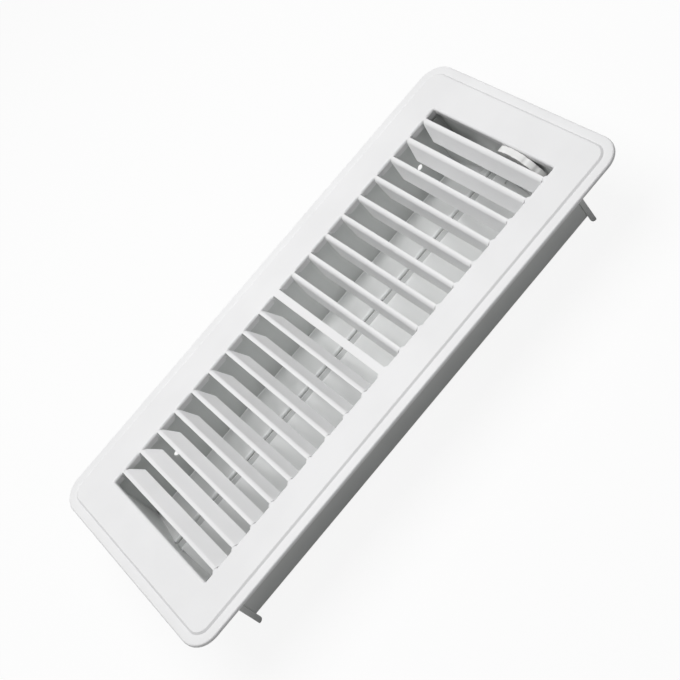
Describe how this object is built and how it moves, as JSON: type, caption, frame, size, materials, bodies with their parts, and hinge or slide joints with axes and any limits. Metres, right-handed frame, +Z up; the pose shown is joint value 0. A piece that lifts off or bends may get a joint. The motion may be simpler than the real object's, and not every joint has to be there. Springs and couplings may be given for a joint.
{
  "type": "floor register",
  "caption": "White stamped-steel floor register: slotted grille face on a shallow duct box, with folding damper wings worked by a thumb lever in the end slot.",
  "frame": {"origin": "middle of the plane that the end plates stand on", "axes": "+X along the grille towards the thumb lever, +Z up out of the grille face, +Y to the side away from the closed lever"},
  "size_m": [0.291, 0.1374, 0.043],
  "materials": {
    "white_enamel": "satin baked enamel",
    "box_enamel": "thin satin enamel",
    "wing_enamel": "satin enamel",
    "grey_primer": "matt grey primer",
    "lever_plastic": "satin moulded",
    "bright_steel": "zinc plated"
  },
  "bodies": {
    "frame": {"face_plate": "white_enamel", "near_wall": "box_enamel", "far_wall": "box_enamel", "plain_end_plate": "box_enamel", "lever_end_plate": "box_enamel", "hinge_bracket": "box_enamel", "gap_strip": "grey_primer", "near_hinge_rod": "bright_steel", "far_hinge_rod": "bright_steel", "rod_clips": "bright_steel", "lever_rivet": "bright_steel", "lever_washer": "bright_steel"},
    "lever": {"thumb_lever": "lever_plastic"},
    "near_damper": {"near_wing": "wing_enamel", "near_drive_pin": "bright_steel"},
    "far_damper": {"far_wing": "wing_enamel", "far_drive_pin": "bright_steel"}
  },
  "joints": [
    {"name": "lever_turn", "type": "hinge", "parent": "frame", "child": "lever", "pos_m": [0.1188, 0, 0.0055], "axis": [-1, 0, 0], "range_deg": [0, 76]},
    {"name": "near_wing_fold", "type": "hinge", "parent": "frame", "child": "near_damper", "pos_m": [0, -0.0035, 0.0248], "axis": [1, 0, 0], "range_deg": [0, 57]},
    {"name": "far_wing_fold", "type": "hinge", "parent": "frame", "child": "far_damper", "pos_m": [0, 0.0035, 0.0248], "axis": [-1, 0, 0], "range_deg": [0, 57]}
  ],
  "couplings": [
    {"joint": "near_wing_fold", "follows": "lever_turn", "ratio": 0.75},
    {"joint": "far_wing_fold", "follows": "lever_turn", "ratio": 0.75}
  ]
}
